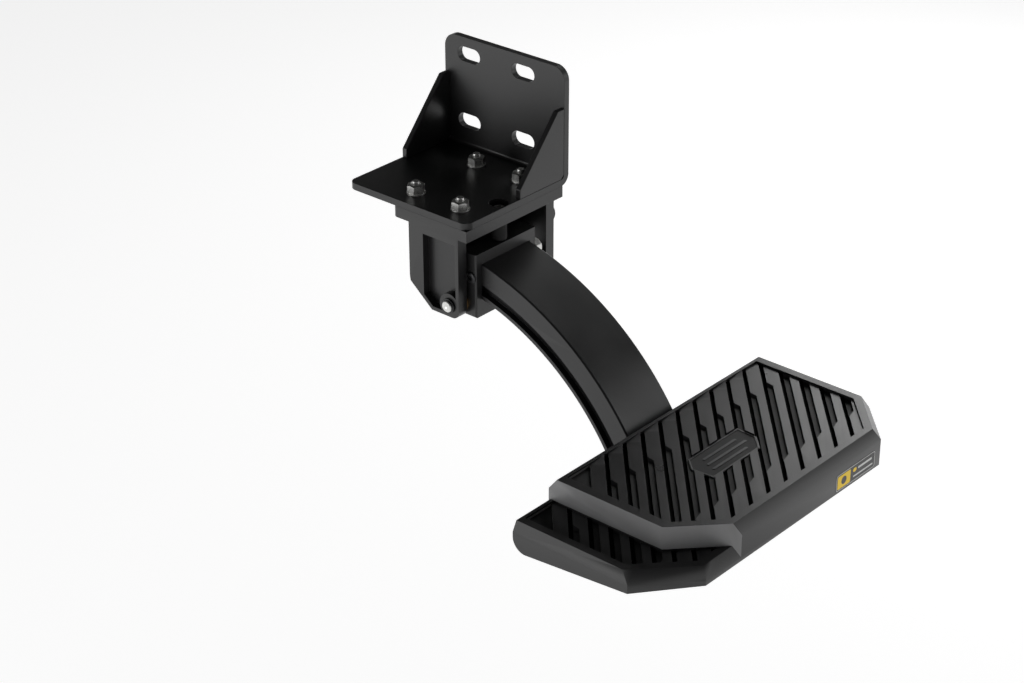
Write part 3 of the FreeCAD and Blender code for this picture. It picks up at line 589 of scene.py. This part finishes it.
def outerEdge(edge):  # an edge round the foot of the pad, on its outside
    low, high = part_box("step_pad")
    a, b = (v.co for v in edge.verts)
    flat = [f for f in edge.link_faces if f.normal.z < -0.9]
    wall = [f for f in edge.link_faces if abs(f.normal.z) < 0.3]
    if not flat or not wall or (a - b).length < 8 * mm:
        return False
    centre = Vector(((low[0] + high[0]) / 2, (low[1] + high[1]) / 2, a.z))
    return wall[0].normal.dot((a + b) / 2 - centre) > 0


def isRiser(face, lowTop, top):
    place = middle(face)
    return (lowTop + mm < place.z < top - pad["riserTop"] and face.normal.x < -0.3
            and abs(face.normal.z) < 0.6 and place.x < pivot.x - pad["riserInset"]
            and face.calc_area() > pad["riserArea"])


def makePad():
    bm = cleanCopy("step_pad")
    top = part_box("step_pad")[1][2]
    softEdges(bm, pad["footSoft"], 40, 3, outerEdge)
    lowTop = max(middle(f).z for f in bm.faces if f.normal.z > 0.99
                 and f.calc_area() > pad["tierArea"] and middle(f).z < top - pad["tierDrop"])
    cutTread(bm, top, False)
    cutTread(bm, lowTop, True)
    softEdges(bm, pad["edgeSoft"], 28, 2, lambda e: all(v.co.z > lowTop - 8 * mm for v in e.verts)
              and any(f.normal.z > 0.3 for f in e.link_faces))
    # the riser faces turned to the -X side take the painted light grey, standing in for the light they catch
    for face in bm.faces:
        if isRiser(face, lowTop, top):
            face.material_index = finishOf["paintedLightGrey"]
    finishPiece(bm, "treadPad", pad["finishes"], "step", ["step_pad"])


makePad()
report("tread pad made")


def slab(bm, corners, low, high, turn):  # a flat plate with this outline, in millimetres
    verts = [bm.verts.new(turn @ (Vector((x, y, low)) * mm)) for x, y in corners]
    face = bmesh.ops.contextual_create(bm, geom=verts)["faces"][0]
    made = bmesh.ops.extrude_face_region(bm, geom=[face])["geom"]
    shift = turn.to_3x3() @ Vector((0, 0, (high - low) * mm))
    bmesh.ops.translate(bm, vec=shift, verts=[x for x in made if isinstance(x, bmesh.types.BMVert)])


def rounded(x, y, wide, tall, radius, steps=5):
    corners = []
    for n, (cx, cy) in enumerate(((x + wide - radius, y + tall - radius), (x + radius, y + tall - radius),
                                  (x + radius, y + radius), (x + wide - radius, y + radius))):
        for s in range(steps + 1):
            angle = math.radians(90 * n + 90 * s / steps)
            corners.append((cx + radius * math.cos(angle), cy + radius * math.sin(angle)))
    return corners


def shrunk(corners, inset):  # the same outline drawn in all round
    centre = Vector((sum(x for x, y in corners), sum(y for x, y in corners))) / len(corners)
    lines = []
    for a, b in zip(corners, corners[1:] + corners[:1]):
        a, b = Vector(a), Vector(b)
        normal = Vector((a.y - b.y, b.x - a.x)).normalized()
        if normal.dot(centre - a) < 0:
            normal.negate()
        lines.append((a + normal * inset, (b - a).normalized()))
    out = []
    for (p, d), (q, e) in zip(lines[-1:] + lines[:-1], lines):
        t = ((q - p).x * e.y - (q - p).y * e.x) / (d.x * e.y - d.y * e.x)
        out.append(tuple(p + d * t))
    return out


def makePlaque():
    bm = bmesh.new()
    turn = Matrix.Translation(at(0, 0, 0))
    base, top = pad["plaqueFloor"], pad["plaqueFloor"] + pad["plaqueThick"]
    outline = shrunk(pad["plaque"], pad["plaqueInset"])
    slab(bm, outline, base, top - pad["plaqueRaise"], turn)
    # the plate between the raised border and bars takes the second look, painted shade darker than the
    # raised parts
    for face in bm.faces:
        face.material_index = 1
    inner = shrunk(outline, pad["plaqueBorder"])
    foot = top - pad["plaqueRaise"] - 0.05  # the raised parts start a little inside the plate
    for n in range(len(outline)):
        m = (n + 1) % len(outline)
        slab(bm, [outline[n], outline[m], inner[m], inner[n]], foot, top, turn)
    for x, y, wide in pad["bars"]:
        slab(bm, rounded(x, y, wide, pad["barWide"], 1.2, 3), foot, top, turn)
    softEdges(bm, 0.12 * mm, 60, 2)
    finishPiece(bm, "padPlaque", ("castBlack", "paintedShadeBlack"), "step", ["pad_plaque"], 30)


label = {"corner": (38, -89), "size": (54, 15.4), "face": -325.6, "layer": 0.06, "round": 2.2}


def makeLabel():  # plain colour fields and bars, with nothing to read
    x, z = label["corner"]
    wide, tall = label["size"]
    turn = Matrix(((1, 0, 0, 0), (0, 0, -1, 0), (0, 1, 0, 0), (0, 0, 0, 1)))
    turn = Matrix.Translation(at(x, label["face"], z)) @ turn
    fields = [("filmBlack", 0, 1, [rounded(0, 0, wide, tall, label["round"])]),
              ("filmWhite", 1, 2, [rounded(0.5, 0.5, wide - 1, tall - 1, label["round"] - 0.4)]),
              ("filmBlack", 2, 3, [rounded(1.1, 1.1, wide - 2.2, tall - 2.2, label["round"] - 0.9)]),
              ("filmYellow", 3, 4, [rounded(1.9, 1.9, 17.5, tall - 3.8, 1.2),
                                    rounded(23, 8.6, 4.6, 3.4, 1.6)]),
              ("filmWhite", 3, 4, [rounded(30, 9.2, 19, 2.0, 0.5), rounded(23.5, 4.0, 27, 1.4, 0.5)]),
              ("filmBlack", 4, 5, [rounded(7, 4.2, 7, 7, 3.4)])]
    bm = bmesh.new()
    looks = []
    for look, low, high, outlines in fields:
        if look not in looks:
            looks.append(look)
        for corners in outlines:
            start = len(bm.faces)
            slab(bm, corners, low * label["layer"], high * label["layer"], turn)
            bm.faces.ensure_lookup_table()
            for face in bm.faces[start:]:
                face.material_index = looks.index(look)
    finishPiece(bm, "markLabel", looks, "step", ["warning_label"], 30)


makePlaque()
makeLabel()
report("plaque and label made")


def axle(x=0, y=0, z=0, back=False):  # local Z along +X, or along -X
    turn = Matrix(((0, 0, 1, 0), (1, 0, 0, 0), (0, 1, 0, 0), (0, 0, 0, 1)))
    if back:
        turn = turn @ Matrix.Rotation(math.pi, 4, "X")
    return Matrix.Translation(at(x, y, z)) @ turn


softCopies = {
    "curved_arm": ("powderBlack", "step", 0.5), "knuckle": ("powderBlack", "step", 0.5),
    "hinge_bracket": ("powderBlack", "bracket", 0.6), "frame_bracket": ("powderBlack", "bracket", 0.7),
    "frame_gussets": ("powderBlack", "bracket", 0.6), "foot_plate": ("powderBlack", "step", 0.6),
    "stow_stop": ("rubberBlack", "bracket", 1.2), "deploy_stop": ("rubberBlack", "bracket", 0.8),
    "pad_cover": ("nylonBlack", "step", 0.4), "spring_peg": ("blackOxide", "step", 0.4),
    "pivot_rings": ("blackOxide", "bracket", 0.25), "pivot_bushings": ("bronze", "step", 0.3),
    "spring_spacer": ("nylonBlack", "bracket", 0.3), "lock_collar": ("blackOxide", "bracket", 0.5),
    "pad_bolts": ("zincBright", "step", 0.5), "pad_washers": ("zincBright", "step", 0.3),
    "bracket_washers": ("zincBright", "bracket", 0.3), "cover_screws": ("blackOxide", "step", 0.4),
}


def makeSoftCopies():
    for node, (look, body, width) in softCopies.items():
        bm = cleanCopy(node)
        softEdges(bm, width * mm, 40, 2)
        parts = node.split("_")
        name = parts[0] + "".join(part.title() for part in parts[1:])
        finishPiece(bm, name, look, body, [node])


makeSoftCopies()
report("plates, arm and bushings softened")

deckBolt = {"xs": (-30, 44), "ys": (4, 53), "radius": 4, "head": (56.7, 62), "end": 89,
            "washer": 79.6, "nut": 6.5, "across": 13, "pitch": 1.25}
armBolt = {"places": ((-13.5, 25), (0, 30)), "radius": 4, "half": 37, "end": 45, "head": 1.8,
           "headRadius": 5, "socket": 2.2}
stopScrew = {"y": -11, "radius": 3, "head": (72, 75), "headRadius": 5.2, "low": 56, "socket": 2.4}
wallScrew = {"xs": (-8, 8), "z": 22, "radius": 2.5, "head": (43.7, 46.5), "headRadius": 4.5,
             "low": 31.7, "socket": 2}
pin = {"radius": 5, "left": -53.2, "right": 73.2, "chamfer": 0.7, "dimple": 1.9, "dimpleDeep": 1.1}


def makeDeckBolts():
    bolts, nuts = bmesh.new(), bmesh.new()
    low, high = deckBolt["head"]
    radius, end, across = deckBolt["radius"], deckBolt["end"], deckBolt["across"]
    washer, nut = deckBolt["washer"], deckBolt["nut"]
    start = washer + nut - 1
    profile = [(high - 0.1, 0), (high - 0.1, radius), (start, radius)]
    profile += threads(start, end - 0.6, radius, deckBolt["pitch"]) + [(end, radius - 1.1), (end, 0)]
    for x in deckBolt["xs"]:
        for y in deckBolt["ys"]:
            turn = Matrix.Translation(at(x, y, 0))
            hexagon(bolts, across, low, high, turn, True, False)
            revolve(bolts, profile, turn)
            hexagon(nuts, across, washer, washer + nut, turn)
    finishPiece(bolts, "bracketBolts", "zincBright", "bracket", ["bracket_bolts"])
    finishPiece(nuts, "bracketNuts", "zincBright", "bracket", ["bracket_nuts"])


def makeArmBolts():
    bolts, nuts = bmesh.new(), bmesh.new()
    half, end, radius = armBolt["half"], armBolt["end"], armBolt["radius"]
    profile = [(-half, 0), (-half, radius), (half + 5, radius)]
    profile += threads(half + 5, end - 0.4, radius, deckBolt["pitch"]) + [(end, radius - 1), (end, 0)]
    for y, z in armBolt["places"]:
        turn = axle(0, y, z)
        socketHead(bolts, armBolt["headRadius"], half, half + armBolt["head"], axle(0, y, z, True),
                   armBolt["socket"])
        revolve(bolts, profile, turn)
        hexagon(nuts, deckBolt["across"], half, half + deckBolt["nut"], turn)
    finishPiece(bolts, "armBolts", "blackOxide", "step", ["arm_bolts"])
    finishPiece(nuts, "armNuts", "zincBright", "step", ["arm_nuts"])


def buttonScrew(bm, screw, turn):
    low, high = screw["head"]
    tip, radius = screw["low"], screw["radius"]
    socketHead(bm, screw["headRadius"], low, high, turn, screw["socket"])
    revolve(bm, [(tip, 0), (tip, radius), (low, radius), (low, 0)], turn)


def makeStopScrews():
    bm = bmesh.new()
    buttonScrew(bm, stopScrew, Matrix.Translation(at(0, stopScrew["y"], 0)))
    finishPiece(bm, "deployStopScrew", "zincBright", "bracket", ["deploy_stop_screw"])
    bm = bmesh.new()
    forward = Matrix(((-1, 0, 0, 0), (0, 0, 1, 0), (0, 1, 0, 0), (0, 0, 0, 1)))
    for x in wallScrew["xs"]:
        buttonScrew(bm, wallScrew, Matrix.Translation(at(x, 0, wallScrew["z"])) @ forward)
    finishPiece(bm, "stowStopScrews", "zincBright", "bracket", ["stow_stop_screws"])


def makePin():
    bm = bmesh.new()
    left, right, radius, chamfer = pin["left"], pin["right"], pin["radius"], pin["chamfer"]
    dimple, deep = pin["dimple"], pin["dimpleDeep"]
    revolve(bm, [(left + deep, 0), (left + 0.15, dimple), (left, dimple + 0.3), (left, radius - chamfer),
                 (left + chamfer, radius), (right - chamfer, radius), (right, radius - chamfer),
                 (right, dimple + 0.3), (right - 0.15, dimple), (right - deep, 0)], axle(), 48)
    finishPiece(bm, "pivotPin", "zincBright", "bracket", ["pivot_pin"])


makeDeckBolts()
makeArmBolts()
makeStopScrews()
makePin()
report("fasteners and pin made")

returnSpring = {"radius": 10.85, "wire": 2.9, "low": 41.8, "high": 57.2, "turns": 4.6,
                "start": 219.4, "leg": 8}
lockSpring = {"radius": 5.5, "wire": 1.3, "low": 50.2, "high": 58.5, "turns": 4.5, "place": (20, 27)}
knob = {"low": 86.2, "high": 98.2, "radius": 9, "place": (20, 27)}
plunger = {"low": 38.2, "high": 88.2, "radius": 4, "collar": (46.2, 49.2), "collarRadius": 7}


def makeReturnSpring():
    bm = bmesh.new()
    turn = axle() @ Matrix.Rotation(math.radians(returnSpring["start"]), 4, "Z")
    radius, low, leg = returnSpring["radius"], returnSpring["low"], returnSpring["leg"]
    coil(bm, radius, returnSpring["wire"], low, returnSpring["high"], returnSpring["turns"], turn,
         lead=[(radius, -leg, low), (radius, -leg / 2, low)])
    piece = finishPiece(bm, "returnSpring", "springWire", None, ["return_spring"], 60)
    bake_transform(piece)


def makeLock():
    y, z = lockSpring["place"]
    bm = bmesh.new()
    coil(bm, lockSpring["radius"], lockSpring["wire"], lockSpring["low"], lockSpring["high"],
         lockSpring["turns"], axle(0, y, z))
    piece = finishPiece(bm, "lockSpring", "springWire", None, ["lock_spring"], 60)
    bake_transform(piece)
    bm = bmesh.new()
    low, high = plunger["collar"]
    nose, tail, radius, wide = plunger["low"], plunger["high"], plunger["radius"], plunger["collarRadius"]
    revolve(bm, [(nose, 0), (nose, radius - 1), (nose + 1.2, radius), (low, radius),
                 (low, wide - 0.4), (low + 0.4, wide), (high - 0.4, wide), (high, wide - 0.4),
                 (high, radius), (tail, radius), (tail, 0)], axle(0, y, z))
    finishPiece(bm, "lockPlunger", "zincBright", "lock", ["lock_plunger"])
    bm = bmesh.new()
    low, high, radius = knob["low"], knob["high"], knob["radius"]
    profile = [(low, 4.1), (low, radius - 1.5), (low + 1, radius - 0.5), (low + 2, radius)]
    for n in range(3):
        start = low + 3 + n * 2
        profile += [(start, radius), (start + 0.5, radius - 0.8), (start + 1, radius - 0.8),
                    (start + 1.5, radius)]
    profile += [(high - 1.4, radius), (high - 0.4, radius - 0.6), (high, radius - 1.8), (high, 0)]
    revolve(bm, profile, axle(0, y, z), 48)
    finishPiece(bm, "lockKnob", "nylonBlack", "lock", ["lock_knob"])


makeReturnSpring()
makeLock()
report("springs and lock made")

view = {"place": (-1.4005, -1.2423, 0.7659), "azimuth": -48.7, "elevation": 28.1, "roll": -0.2, "lens": 84.4,
        "floorDrop": 0.36, "floorGlow": 0.80}
lamps = {
    "rightBack": {"place": (1.84, 0.18, 0.6), "aim": (-0.05, -0.3, -0.19), "size": (1.3, 0.9), "power": 16},
    "rightRear": {"place": (1.24, -1.5, 0.55), "aim": (-0.08, -0.2, -0.2), "size": (1.0, 0.8), "power": 4},
    "leftSide": {"place": (-1.75, 0.75, 0.05), "aim": (-0.2, -0.3, -0.2), "size": (1.4, 1.2), "power": 11},
}


def makeCamera():
    data = bpy.data.cameras.new("camera")
    data.lens = view["lens"]
    data.sensor_width = 36
    data.clip_end = 50
    camera = bpy.data.objects.new("camera", data)
    bpy.context.collection.objects.link(camera)
    camera.location = view["place"]
    turn = Matrix.Rotation(math.radians(view["azimuth"]), 4, "Z")
    turn = turn @ Matrix.Rotation(math.radians(90 - view["elevation"]), 4, "X")
    turn = turn @ Matrix.Rotation(math.radians(view["roll"]), 4, "Z")
    camera.rotation_euler = turn.to_euler()
    bpy.context.scene.camera = camera


def makeLamp(name, lamp):
    data = bpy.data.lights.new(name, "AREA")
    data.shape = "RECTANGLE"
    data.size, data.size_y = lamp["size"]
    data.energy = lamp["power"]
    light = bpy.data.objects.new(name, data)
    bpy.context.collection.objects.link(light)
    light.location = lamp["place"]
    ahead = Vector(lamp["aim"]) - Vector(lamp["place"])
    light.rotation_euler = ahead.to_track_quat("-Z", "Y").to_euler()
    light.visible_camera = False


def makeStudio():
    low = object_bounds()[0]
    bm = bmesh.new()
    bmesh.ops.create_grid(bm, x_segments=1, y_segments=1, size=12.0)
    bmesh.ops.translate(bm, vec=(0, 0, low[2] - view["floorDrop"]), verts=bm.verts)
    data = bpy.data.meshes.new("floor")
    bm.to_mesh(data)
    bm.free()
    floor = bpy.data.objects.new("floor", data)
    bpy.context.collection.objects.link(floor)
    paper = newMaterial("paper", Roughness=0.9, Base_Color=(0.5, 0.5, 0.5, 1), Emission_Color=(1, 1, 1, 1),
                        Emission_Strength=view["floorGlow"])
    data.materials.append(paper)
    world = bpy.data.worlds.new("studio")
    world.use_nodes = True
    tree = world.node_tree
    back = tree.nodes["Background"]
    place = tree.nodes.new("ShaderNodeTexCoord")
    parts = tree.nodes.new("ShaderNodeSeparateXYZ")
    fade = tree.nodes.new("ShaderNodeValToRGB")
    tree.links.new(place.outputs["Generated"], parts.inputs[0])
    tree.links.new(parts.outputs["Z"], fade.inputs["Fac"])
    tree.links.new(fade.outputs["Color"], back.inputs["Color"])
    for element, (spot, value) in zip(fade.color_ramp.elements, ((0.02, 0.8), (0.22, 0.04))):
        element.position = spot
        element.color = (value, value, value, 1)
    back.inputs["Strength"].default_value = 1.0
    bpy.context.scene.world = world
    for name, lamp in lamps.items():
        makeLamp(name, lamp)
    bpy.context.scene.view_settings.view_transform = "Standard"


makeCamera()
makeStudio()
report("studio set")
